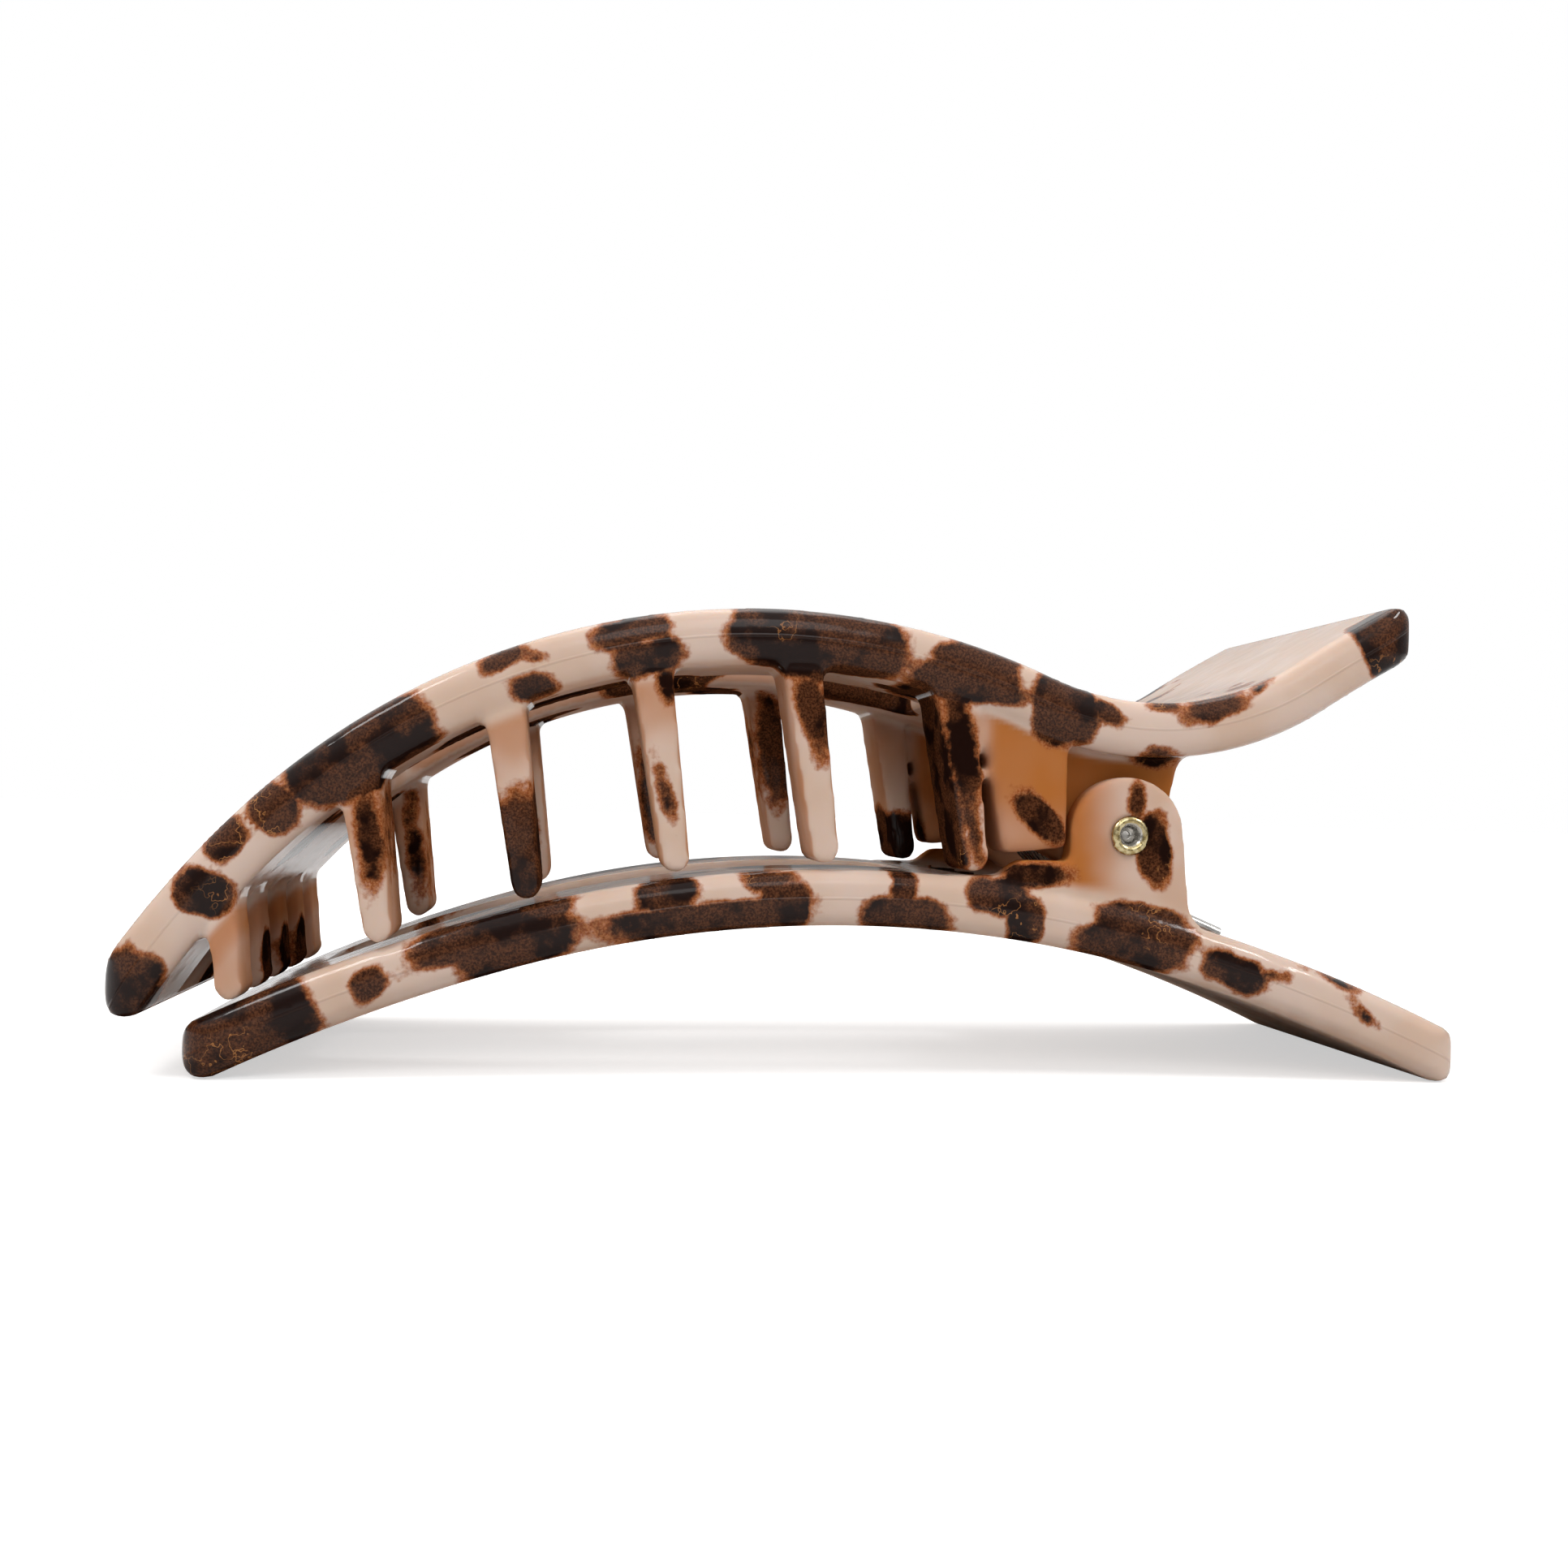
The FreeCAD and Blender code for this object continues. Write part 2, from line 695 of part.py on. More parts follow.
os.makedirs("parts", exist_ok=True)
for item in (upper_jaw, lower_jaw, hinge_rivet, torsion_spring):
    shape = item.Shape
    if shape.isNull() or not shape.isValid() or len(shape.Solids) != 1:
        raise ValueError(f"{item.Label} is not one valid solid")
    shape.exportStep(f"parts/{item.Label}.step")
    print(f"{item.Label}: {shape.Volume:.1f} mm3")
print(f"rivet axis at x {pin_x:.2f}, z {pin_z:.2f}")
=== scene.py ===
"""A flat claw clip for hair, in cloudy blush plastic with tortoise blotches.

The frame gives each piece its place. Sizes below are in millimetres and angles in degrees.
"""

import json
import math
import bmesh
import bpy
import numpy as np
from mathutils import Matrix, Vector, kdtree


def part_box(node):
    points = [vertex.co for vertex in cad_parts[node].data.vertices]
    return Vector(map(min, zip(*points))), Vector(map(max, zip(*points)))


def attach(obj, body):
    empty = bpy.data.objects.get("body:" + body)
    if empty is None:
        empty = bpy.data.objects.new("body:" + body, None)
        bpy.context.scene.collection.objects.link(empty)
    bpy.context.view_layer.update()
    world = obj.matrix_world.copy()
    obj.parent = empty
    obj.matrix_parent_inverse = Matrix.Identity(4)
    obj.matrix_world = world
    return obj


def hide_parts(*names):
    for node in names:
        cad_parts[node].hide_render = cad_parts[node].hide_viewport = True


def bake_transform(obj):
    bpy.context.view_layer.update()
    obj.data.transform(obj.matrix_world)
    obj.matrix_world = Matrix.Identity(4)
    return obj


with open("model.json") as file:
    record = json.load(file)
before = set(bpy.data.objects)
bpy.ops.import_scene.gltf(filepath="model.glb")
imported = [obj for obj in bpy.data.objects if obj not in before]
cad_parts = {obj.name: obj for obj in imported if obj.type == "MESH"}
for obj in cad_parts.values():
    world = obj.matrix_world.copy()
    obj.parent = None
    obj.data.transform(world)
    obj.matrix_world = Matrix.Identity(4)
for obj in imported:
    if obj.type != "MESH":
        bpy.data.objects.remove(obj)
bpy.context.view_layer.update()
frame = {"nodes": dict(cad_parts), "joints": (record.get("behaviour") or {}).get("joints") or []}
MM = 0.001
hinge = Vector(frame["joints"][0]["pos_m"]) / MM


# ---- Studio ----
# A pale floor in a white tent that is brightest overhead and dim near the ground. The lamps
# above it draw the bright lines along the plastic's rounded edges.

scene = bpy.context.scene
scene.view_settings.view_transform = "Standard"

camera = bpy.data.objects.new("camera", bpy.data.cameras.new("camera"))
camera.data.lens = 36.335
camera.data.sensor_width = 36
camera.location = Vector((-18.194, -143.687, hinge.z + 1.54)) * MM
camera.rotation_euler = [math.radians(a) for a in (90.870, -1.343, -6.989)]
camera.data.clip_start = 0.005
scene.collection.objects.link(camera)
scene.camera = camera


def add(tree, kind, inputs=None, **settings):
    """A shader node with its settings, each input given a value or fed by another node's socket."""
    made = tree.nodes.new("ShaderNode" + kind)
    for name, value in settings.items():
        setattr(made, name, value)
    for name, value in (inputs or {}).items():
        if isinstance(value, bpy.types.NodeSocket):
            tree.links.new(value, made.inputs[name])
        else:
            made.inputs[name].default_value = value
    return made


def math_of(tree, operation, first, second=0.0):
    return add(tree, "Math", {0: first, 1: second}, operation=operation).outputs[0]


def mixed(tree, share, first, second):
    """Two colours mixed, with share of the second one."""
    return add(tree, "Mix", {"Factor": share, "A": first, "B": second}, data_type="RGBA").outputs["Result"]


def ranged(tree, value, low, high, to_low=0.0, to_high=1.0):
    """Value from low to high, eased into to_low to to_high."""
    return add(tree, "MapRange", {"Value": value, "From Min": low, "From Max": high, "To Min": to_low,
                                  "To Max": to_high}, interpolation_type="SMOOTHSTEP").outputs[0]


def light_tent():
    world = bpy.data.worlds.new("tent")
    scene.world = world
    world.use_nodes = True
    tree = world.node_tree
    tree.nodes.clear()
    direction = add(tree, "SeparateXYZ", {0: add(tree, "TexCoord").outputs["Generated"]})
    dim = ranged(tree, direction.outputs["Z"], 0.05, 0.6, 0.24, 1.12)
    light = add(tree, "Background", {"Color": (1.0, 0.99, 0.98, 1), "Strength": dim})
    white = add(tree, "Background", {"Color": (1, 1, 1, 1), "Strength": 1.0})
    seen = add(tree, "LightPath").outputs["Is Camera Ray"]
    tent = add(tree, "MixShader", {"Fac": seen, 1: light.outputs[0], 2: white.outputs[0]})
    add(tree, "OutputWorld", {"Surface": tent.outputs[0]})


def add_lamp(name, place, size, power):
    lamp = bpy.data.objects.new(name, bpy.data.lights.new(name, "AREA"))
    lamp.data.shape = "DISK"
    lamp.data.size = size
    lamp.data.energy = power
    lamp.location = place
    lamp.rotation_euler = (Vector((0, 0, 0.02)) - lamp.location).to_track_quat("-Z", "Y").to_euler()
    scene.collection.objects.link(lamp)


def new_material(name):
    material = bpy.data.materials.new(name)
    material.use_nodes = True
    material.node_tree.nodes.clear()
    return material, material.node_tree


light_tent()
add_lamp("left_lamp", (-0.30, -0.16, 0.42), 0.14, 0.9)
add_lamp("front_lamp", (0.02, -0.62, 0.40), 0.30, 0.6)
add_lamp("right_lamp", (0.36, -0.22, 0.36), 0.10, 0.6)
add_lamp("top_lamp", (0.0, 0.25, 0.7), 0.5, 1.2)

FLOOR_SIZE = 4.0
FLOOR_LIFT = 0.55
floor_form = bmesh.new()
bmesh.ops.create_grid(floor_form, x_segments=4, y_segments=4, size=FLOOR_SIZE)
floor_mesh = bpy.data.meshes.new("floor")
floor_form.to_mesh(floor_mesh)
floor_form.free()
floor = bpy.data.objects.new("floor", floor_mesh)
scene.collection.objects.link(floor)
paper, tree = new_material("white_paper")
grain = add(tree, "TexNoise", {"Vector": add(tree, "TexCoord").outputs["Object"], "Scale": 900.0})
tone = ranged(tree, grain.outputs["Fac"], 0.2, 0.8, 0.60, 0.63)
seen = add(tree, "LightPath").outputs["Is Camera Ray"]
sheet = add(tree, "BsdfPrincipled", {
    "Base Color": add(tree, "CombineColor", {0: tone, 1: tone, 2: tone}).outputs[0],
    "Roughness": 0.9, "Specular IOR Level": 0.1, "Emission Color": (1, 1, 1, 1),
    "Emission Strength": math_of(tree, "MULTIPLY", seen, FLOOR_LIFT)})
add(tree, "OutputMaterial", {"Surface": sheet.outputs[0]})
floor_mesh.materials.append(paper)


# ---- Upper jaw ----
# One injection moulding in cloudy blush plastic, its pigment swirled in as tortoise blotches:
# a curved plate with a window, side teeth and a comb below it, two knuckles with their stops,
# and the thumb tab. The two halves of the mould leave a line round its edge.

HALF_THICKNESS = 2.25
HALF_WIDTH = 18.75
DRAFT = 0.055
STEP = 0.05
SMOOTHINGS = 4
WELD = 0.004


def spine(place, forwards, backwards):
    """The middle of a jaw's plate in side view, from a level point: arcs of (radius, turn) to its
    rear and to its front, where a negative radius is a hump. Rows of x, z, heading, distance."""
    rows = []
    for arcs, way in ((forwards, 1), (backwards, -1)):
        x, z, heading, gone = place[0], place[1], 0.0, 0.0
        straight = [(1e9, 8.0)]
        lengths = [(radius, abs(radius) * math.radians(turn)) for radius, turn in arcs] + straight
        for radius, length in lengths:
            for _ in range(int(length / STEP)):
                heading += way * STEP / radius / 2
                x += way * STEP * math.cos(heading)
                z += way * STEP * math.sin(heading)
                heading += way * STEP / radius / 2
                gone += way * STEP
                rows.append((x, z, heading, gone))
    return np.array(sorted(rows, key=lambda row: row[3]))


def places_on(points, line):
    """For each point, the nearest row of a jaw's spine and how far above the spine it is."""
    finder = kdtree.KDTree(len(line))
    for number, row in enumerate(line):
        finder.insert((row[0], 0, row[1]), number)
    finder.balance()
    nearest = np.array([finder.find((p[0], 0, p[2]))[1] for p in points])
    rows = line[nearest]
    up = np.stack([-np.sin(rows[:, 2]), np.cos(rows[:, 2])], 1)
    height = ((points[:, [0, 2]] - rows[:, :2]) * up).sum(1)
    return rows, up, height


def eased(value, low, high):
    share = np.clip((value - low) / (high - low), 0, 1)
    return share * share * (3 - 2 * share)


def moulded(node, name, line, voxel):
    """A jaw as it leaves the mould: every edge a little round, the flats true to the jaw's
    spine, and the sides sloping in from the line where the mould's halves met."""
    sharp = frame["nodes"][node].data.copy()
    form = bmesh.new()
    form.from_mesh(sharp)
    bmesh.ops.remove_doubles(form, verts=form.verts, dist=WELD * MM)
    form.to_mesh(sharp)
    form.free()
    piece = bpy.data.objects.new(name, sharp)
    scene.collection.objects.link(piece)
    remesh = piece.modifiers.new("even_faces", "REMESH")
    remesh.mode = "VOXEL"
    remesh.voxel_size = voxel * MM
    mesh = bpy.data.meshes.new_from_object(piece.evaluated_get(bpy.context.evaluated_depsgraph_get()))
    piece.modifiers.clear()
    form = bmesh.new()
    form.from_mesh(mesh)
    for _ in range(SMOOTHINGS):
        bmesh.ops.smooth_vert(form, verts=form.verts, factor=0.5, use_axis_x=True, use_axis_y=True,
                              use_axis_z=True)
    for face in form.faces:
        face.smooth = True
    form.to_mesh(mesh)
    form.free()
    mesh.name = name
    mesh.materials.clear()
    piece.data = mesh

    points = np.zeros(len(mesh.vertices) * 3)
    mesh.vertices.foreach_get("co", points)
    points = points.reshape(-1, 3) / MM
    rows, up, height = places_on(points, line)
    miss = np.abs(height) - HALF_THICKNESS
    pull = -np.sign(height) * miss * (1 - eased(np.abs(miss), 0.03, 0.10))
    points[:, 0] += up[:, 0] * pull
    points[:, 2] += up[:, 1] * pull
    in_rim = eased(np.abs(points[:, 1]), HALF_WIDTH - 2.0, HALF_WIDTH)
    in_rim = in_rim * (np.abs(height) < HALF_THICKNESS + 0.1)
    points[:, 1] -= np.sign(points[:, 1]) * DRAFT * np.abs(height) * in_rim
    mesh.vertices.foreach_set("co", (points * MM).ravel())
    facing = np.zeros(len(mesh.vertices) * 3, np.float32)
    mesh.vertex_normals.foreach_get("vector", facing)
    return piece, points, facing.reshape(-1, 3), height


def note(piece, name, values):
    """Keeps a value for each vertex, for the material to read."""
    kept = piece.data.attributes.new(name, "FLOAT", "POINT")
    kept.data.foreach_set("value", values.astype(np.float32))


def blot(points, centre, radii, lean=0.0, squareness=2.4):
    """How far each point is outside a soft block of pigment, or below 0 inside it. The block
    leans back about the clip's width."""
    turn = math.radians(lean)
    away = points - np.array(centre)
    along = (away[:, 0] * math.cos(turn) + away[:, 2] * math.sin(turn)) / radii[0]
    across = away[:, 1] / radii[1]
    above = (away[:, 2] * math.cos(turn) - away[:, 0] * math.sin(turn)) / radii[2]
    reach = (np.abs(along) ** squareness + np.abs(across) ** squareness + np.abs(above) ** squareness)
    return (reach ** (1 / squareness) - 1) * min(radii[0], radii[2])


def side_blots(points, line, places, near=-19.5, depth=5.0):
    """Pigment that shows on the jaw's near side. Each place is how far along X, how far above
    the spine, half its length, half its height, and how it leans from square to the jaw."""
    found = np.full(len(points), 9.0)
    for x, above, half_length, half_height, lean in places:
        row = line[np.argmin(np.abs(line[:, 0] - x))]
        heading = row[2]
        centre = (row[0] - above * math.sin(heading), near, row[1] + above * math.cos(heading))
        radii = (half_length, depth, half_height)
        found = np.minimum(found, blot(points, centre, radii, math.degrees(heading) + lean, 3.0))
    return found


def cloudy_tortoise():
    """The plastic's look, for both jaws. Placed is the distance to the nearest blotch in
    millimetres, Open is where more may form by chance, the third input is how much painted glow
    there is, a warm orange painted in where light would shine through the plastic into its shade,
    Above is the distance from the mould's parting line, and Batch shifts the noise."""
    group = bpy.data.node_groups.new("cloudy_tortoise", "ShaderNodeTree")
    for name in ("Placed", "Open", "Painted_glow", "Above", "Batch"):
        group.interface.new_socket(name, in_out="INPUT", socket_type="NodeSocketFloat")
    for name, kind in (("Color", "Color"), ("Roughness", "Float"), ("Height", "Float")):
        group.interface.new_socket(name, in_out="OUTPUT", socket_type="NodeSocket" + kind)
    given = group.nodes.new("NodeGroupInput").outputs
    place = add(group, "Mapping", {"Vector": add(group, "TexCoord").outputs["Object"],
                                   "Scale": (1000, 1000, 1000)})
    shifted = add(group, "VectorMath", {0: place.outputs[0], 1: given["Batch"]}, operation="ADD").outputs[0]

    def noise(scale, detail=2.0, roughness=0.5):
        return add(group, "TexNoise", {"Vector": shifted, "Scale": scale, "Detail": detail,
                                       "Roughness": roughness}).outputs["Fac"]

    def centred(value, size):
        """A noise's value as an offset either side of 0, size across in all."""
        return math_of(group, "MULTIPLY", math_of(group, "SUBTRACT", value, 0.5), size)

    # Blotches: the placed ones and the chance ones, both with feathered, ragged rims.
    swirl = math_of(group, "SUBTRACT", noise(0.085, 1.5), 0.56)
    chance = math_of(group, "MULTIPLY", swirl, -16.0)
    closed = math_of(group, "MULTIPLY", math_of(group, "SUBTRACT", 1.0, given["Open"]), 12.0)
    chance = math_of(group, "ADD", chance, closed)
    ragged = centred(noise(0.42, 3.0, 0.6), 1.25)
    feather = centred(noise(2.6, 4.0, 0.65), 0.30)
    field = math_of(group, "MINIMUM", given["Placed"], chance)
    field = math_of(group, "ADD", math_of(group, "ADD", field, ragged), feather)

    # Clear plastic: blush, with milkier and pinker clouds, and a painted orange glow where light would
    # shine through it into its shaded parts, with a little more of it in the clouds.
    clouds = ranged(group, noise(0.16, 2.0), 0.3, 0.7)
    blush = mixed(group, clouds, (0.565, 0.435, 0.365, 1), (0.53, 0.39, 0.305, 1))
    lit = math_of(group, "ADD", given["Painted_glow"], math_of(group, "MULTIPLY", clouds, 0.15))
    clear = mixed(group, ranged(group, lit, 0.0, 1.15), blush, (0.37, 0.125, 0.028, 1))

    # Pigment: near-black clouds in grainy brown, a few fine amber cracks, and a rust halo where
    # it thins out.
    dense = ranged(group, noise(0.30, 3.0), 0.46, 0.60)
    grit = ranged(group, noise(5.5, 2.0, 0.6), 0.35, 0.68)
    brown = mixed(group, grit, (0.028, 0.009, 0.004, 1), (0.100, 0.035, 0.0145, 1))
    brown = mixed(group, dense, brown, (0.011, 0.0042, 0.003, 1))
    crack = math_of(group, "ABSOLUTE", centred(noise(0.5, 3.0, 0.6), 1.0))
    where_cracked = ranged(group, noise(0.11, 1.0), 0.60, 0.68)
    cracked = math_of(group, "MULTIPLY", ranged(group, crack, 0.014, 0.003), where_cracked)
    brown = mixed(group, cracked, brown, (0.30, 0.125, 0.04, 1))
    rust = mixed(group, grit, (0.23, 0.060, 0.017, 1), (0.38, 0.145, 0.055, 1))
    thin = mixed(group, ranged(group, field, 0.30, 0.0), clear, rust)
    colour = mixed(group, ranged(group, field, 0.08, -0.26), thin, brown)

    # The parting line: a hair-thin ridge, tinted a little darker all along it.
    ridge = ranged(group, math_of(group, "ABSOLUTE", given["Above"]), 0.16, 0.02)
    colour = mixed(group, math_of(group, "MULTIPLY", ridge, 0.07), colour, (0.09, 0.04, 0.025, 1))
    ripple = math_of(group, "MULTIPLY", noise(0.55, 2.0), 0.030)
    peel = math_of(group, "MULTIPLY", noise(4.0, 2.0), 0.0012)
    skin = math_of(group, "ADD", ripple, peel)
    height = math_of(group, "ADD", skin, math_of(group, "MULTIPLY", ridge, 0.035))
    smear = ranged(group, noise(0.7, 3.0), 0.4, 0.75, 0.09, 0.16)
    out = group.nodes.new("NodeGroupOutput")
    for name, value in (("Color", colour), ("Roughness", smear), ("Height", height)):
        group.links.new(value, out.inputs[name])
    return group


TORTOISE = cloudy_tortoise()


def jaw_plastic(name, batch):
    """The material of one jaw. Where glow is painted in for light through the plastic, it has no mirror
    shine.
    """
    material, tree = new_material(name)
    look = add(tree, "Group", node_tree=TORTOISE)
    look.inputs["Batch"].default_value = batch
    noted = {}
    for value in ("Placed", "Open", "Painted_glow", "Above"):
        noted[value] = add(tree, "Attribute", attribute_name=value.lower()).outputs["Fac"]
        tree.links.new(noted[value], look.inputs[value])
    bump = add(tree, "Bump", {"Height": look.outputs["Height"], "Distance": MM, "Strength": 0.8})
    shine = ranged(tree, noted["Painted_glow"], 0.03, 0.22, 0.17, 0.0)
    plastic = add(tree, "BsdfPrincipled", {
        "Base Color": look.outputs["Color"], "Roughness": look.outputs["Roughness"], "IOR": 1.5,
        "Normal": bump.outputs[0], "Subsurface Weight": 0.3, "Subsurface Radius": (1.0, 0.45, 0.22),
        "Subsurface Scale": 0.9 * MM, "Specular IOR Level": shine})
    add(tree, "OutputMaterial", {"Surface": plastic.outputs[0]})
    return material


UPPER_SPINE = spine((28.0, hinge.z + 8.70), [(24.6, 33.3), (-119, 7)],
                    [(24.6, 23.3), (-56, 69.4), (-73.8, 14)])
upper_jaw, points, facing, above = moulded("upper_jaw", "upper_jaw_moulding", UPPER_SPINE, 0.41)

UPPER_SIDE_BLOTS = [
    (-53.7, -0.4, 4.3, 2.6, 8), (-47.6, -0.3, 1.7, 2.2, 14), (-44.9, 1.0, 1.8, 1.3, 0),
    (-42.0, 0.3, 1.8, 2.0, 0), (-35.9, 0.0, 6.3, 3.4, -8), (-24.5, 1.6, 1.7, 0.8, 4),
    (-22.6, 0.9, 0.9, 0.4, -30), (-23.4, -1.2, 1.9, 1.05, -8), (-15.0, 1.2, 3.1, 1.3, 10),
    (-14.1, -1.2, 2.9, 1.3, 4), (-0.3, 0.0, 7.3, 3.4, -6), (12.4, 1.0, 3.6, 1.8, 24),
    (12.0, -1.0, 4.9, 1.5, 10), (20.0, 0.2, 2.7, 3.1, 20), (23.5, 0.9, 1.5, 0.7, -24),
    (28.8, 2.0, 1.1, 0.45, 0), (33.1, 1.5, 2.7, 1.0, 8), (37.4, 1.9, 0.8, 0.2, 14),
    (48.5, 0.0, 3.5, 3.6, -6)]
placed = side_blots(points, UPPER_SPINE, UPPER_SIDE_BLOTS)

TOOTH_TIPS = [(-34.3, 10.3), (-23.0, 13.8), (-11.4, 16.3), (0.6, 17.3), (12.9, 16.7)]
TOOTH_ROOTS = [24.1, 28.7, 31.5, 32.5, 31.1]
TOOTH_LEAN = 8.3
TOOTH_MIDDLE = 14.7
TEETH_END = 14.0


def tooth_blot(number, side, low, high, shift=0.0, half_width=3.0, lean=TOOTH_LEAN):
    """Pigment in one side tooth, from low to high as shares of its length up from its tip."""
    tip_x, tip_z = TOOTH_TIPS[number]
    length = TOOTH_ROOTS[number] - tip_z
    up = (low + high) / 2 * length
    centre = (tip_x - up * math.tan(math.radians(TOOTH_LEAN)) + shift, side * TOOTH_MIDDLE, tip_z + up)
    return blot(points, centre, (half_width, 6.0, (high - low) / 2 * length), lean)


for tooth in (
    tooth_blot(0, -1, 0.22, 1.0, 0.5, 1.2, 4), tooth_blot(0, 1, 0.15, 0.9, 0.6, 0.9),
    tooth_blot(1, -1, -0.3, 0.66), tooth_blot(1, 1, 0.2, 0.5, 0.0, 1.0),
    tooth_blot(2, -1, 0.3, 0.58, 0.1, 0.5, 18), tooth_blot(2, -1, 0.88, 1.1, 1.2, 0.8),
    tooth_blot(2, 1, 0.05, 0.85, 0.2, 1.3), tooth_blot(3, -1, 0.5, 1.05, 0.7, 1.5, 16),
    tooth_blot(3, 1, 0.26, 1.1, 0.4, 1.7), tooth_blot(4, -1, 0.3, 1.1, 0.2, 1.5, 10),
    tooth_blot(4, -1, 0.1, 0.5, 0.2, 0.35, 14), tooth_blot(4, 1, -0.3, 0.4),
):
    placed = np.minimum(placed, tooth)
last_x, last_z = TOOTH_TIPS[4]
placed = np.minimum(placed, blot(points, (last_x - 3.3, -12.5, last_z + 6.0), (2.5, 8.0, 11.0), TOOTH_LEAN))

COMB_TIP_X = -45.3
COMB_LEAN = 6.6
for y in (-8.0, 0.0, 8.0):
    placed = np.minimum(placed, blot(points, (COMB_TIP_X - 0.3, y, 8.0), (3.0, 2.2, 2.9), COMB_LEAN))
KNUCKLE_AND_STOP_BLOTS = [
    ((28.4, -15.5, 26.8), (2.0, 3.0, 0.8), -4), ((18.3, -18.0, 21.5), (3.0, 2.5, 1.25), -48),
    ((20.5, 14.0, 24.4), (3.0, 4.0, 1.4), 30)]
for centre, radii, lean in KNUCKLE_AND_STOP_BLOTS:
    placed = np.minimum(placed, blot(points, centre, radii, lean))

in_plate = np.abs(above) < HALF_THICKNESS + 0.3
inland = eased(points[:, 1], -16.0, -12.5)
below = -above - HALF_THICKNESS
note(upper_jaw, "placed", placed)
tab_top = eased(points[:, 0], 24.0, 30.0) * (1 - eased(points[:, 1], -4.0, 12.0))
note(upper_jaw, "open", np.where(in_plate, inland * (1 - tab_top), 0.0))
note(upper_jaw, "above", above)
# Painted glow: orange painted in as if light shone through the plastic, with no mirror shine, on the inside
# of the hinge, at the roots of the teeth and the comb, on the teeth's sides, the window's far walls, the
# undersides and the walls across the plate's middle. It stands in for light and shade.
hinge_side = eased(points[:, 0], 12.0, 15.0) * (1 - eased(points[:, 0], 30.0, 33.0))
root_glow = 0.55 * eased(below, 0.1, 1.2) * (1 - eased(below, 2.0, 9.0))
comb_glow = 0.8 * eased(below, 0.1, 1.0) * (1 - eased(below, 1.5, 5.0)) * (points[:, 0] < -40)
inner_glow = hinge_side * eased(below, 0.0, 0.8) * (1 - 0.3 * eased(below, 4.0, 9.0))
tooth_side_glow = 0.6 * eased(np.abs(facing[:, 0]), 0.5, 0.9) * eased(below, 0.1, 0.8)
tooth_side_glow = tooth_side_glow * (points[:, 0] < TEETH_END)
window_wall_glow = 0.6 * eased(-facing[:, 1], 0.6, 0.95) * in_plate * (points[:, 1] > 0)
underside_glow = 0.30 * eased(-facing[:, 2], 0.55, 0.85) * (points[:, 0] < 22)
front_wall_glow = 0.35 * eased(np.abs(facing[:, 0]), 0.6, 0.9) * in_plate * (np.abs(points[:, 1]) < 8)
root_glow = root_glow * (points[:, 0] < TEETH_END)
note(upper_jaw, "painted_glow", np.maximum.reduce([root_glow, comb_glow, inner_glow, tooth_side_glow, window_wall_glow,
                                            underside_glow, front_wall_glow]))
upper_jaw.data.materials.append(jaw_plastic("upper_tortoise", 3.0))
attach(upper_jaw, "upper_body")
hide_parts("upper_jaw")


# ---- Lower jaw ----
# The second moulding, from the same plastic: a flatter curved plate with its own window, two
# outer ears that the rivet goes through, a low wall in front of each, and the finger tab.

LOWER_SPINE = spine((2.8, hinge.z - 5.57), [(-100, 14.3), (-142, 14)],
                    [(-100, 15.9), (-144, 11.5)])
lower_jaw, points, facing, above = moulded("lower_jaw", "lower_jaw_moulding", LOWER_SPINE, 0.34)

LOWER_SIDE_BLOTS = [
    (-44.2, 0.0, 6.0, 3.6, 6), (-34.9, -0.1, 1.4, 1.2, 20), (-25.4, 1.2, 6.7, 1.6, 6),
    (-23.6, -1.0, 5.0, 1.9, 10), (-11.9, 1.2, 2.3, 1.5, 8), (-8.9, -1.3, 8.2, 1.45, 0),
    (-3.8, 1.5, 2.0, 0.9, -8), (-2.6, -0.6, 2.0, 2.0, 0), (6.9, 1.3, 1.1, 1.7, 0),
    (7.1, -1.3, 3.6, 1.6, 0), (14.6, 1.1, 2.5, 1.5, 0), (17.1, -0.7, 1.5, 2.1, 8),
    (27.0, 0.9, 4.5, 1.9, 2), (26.2, -0.9, 4.8, 1.8, 6), (34.9, -0.3, 2.9, 1.4, -6),
    (37.8, 0.4, 1.3, 0.4, 12), (43.2, 2.05, 1.6, 0.28, 0), (46.0, 0.35, 1.2, 0.45, -26)]
placed = side_blots(points, LOWER_SPINE, LOWER_SIDE_BLOTS)
EAR_AND_WALL_BLOTS = [
    ((27.9, -18.2, 19.2), (1.55, 2.2, 3.0), 6), ((26.5, -18.2, 23.0), (0.7, 2.0, 1.6), -4),
    ((18.3, -18.2, 16.8), (2.9, 2.4, 1.0), 3), ((24.0, 17.0, 21.9), (2.5, 3.0, 1.6), 40)]
for centre, radii, lean in EAR_AND_WALL_BLOTS:
    placed = np.minimum(placed, blot(points, centre, radii, lean))

in_plate = np.abs(above) < HALF_THICKNESS + 0.3
inland = eased(points[:, 1], -16.0, -12.5)
note(lower_jaw, "placed", placed)
note(lower_jaw, "open", np.where(in_plate & (facing[:, 2] > -0.3), inland, 0.0))
note(lower_jaw, "above", above)
# Painted glow: orange painted in as if light shone through the plastic, with no mirror shine, on the ears and
# walls above the plate, strongest at their front, and on the undersides.
over = above - HALF_THICKNESS
ear_glow = eased(over, 0.0, 1.5) * np.clip(1.0 - eased(points[:, 0], 19.5, 27.0) + 0.2, 0, 1)
underside_glow = 0.25 * eased(-facing[:, 2], 0.55, 0.85)
note(lower_jaw, "painted_glow", np.maximum(np.where(points[:, 0] > 12, ear_glow, 0.0), underside_glow))
lower_jaw.data.materials.append(jaw_plastic("lower_tortoise", 57.0))
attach(lower_jaw, "lower_body")
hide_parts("lower_jaw")


# ---- Rivet ----
# A semi-tubular brass rivet through both ears and both knuckles. Its far end is a low head. Its
# near end was rolled over a punch, which split the roll and left the bore bright and grey.

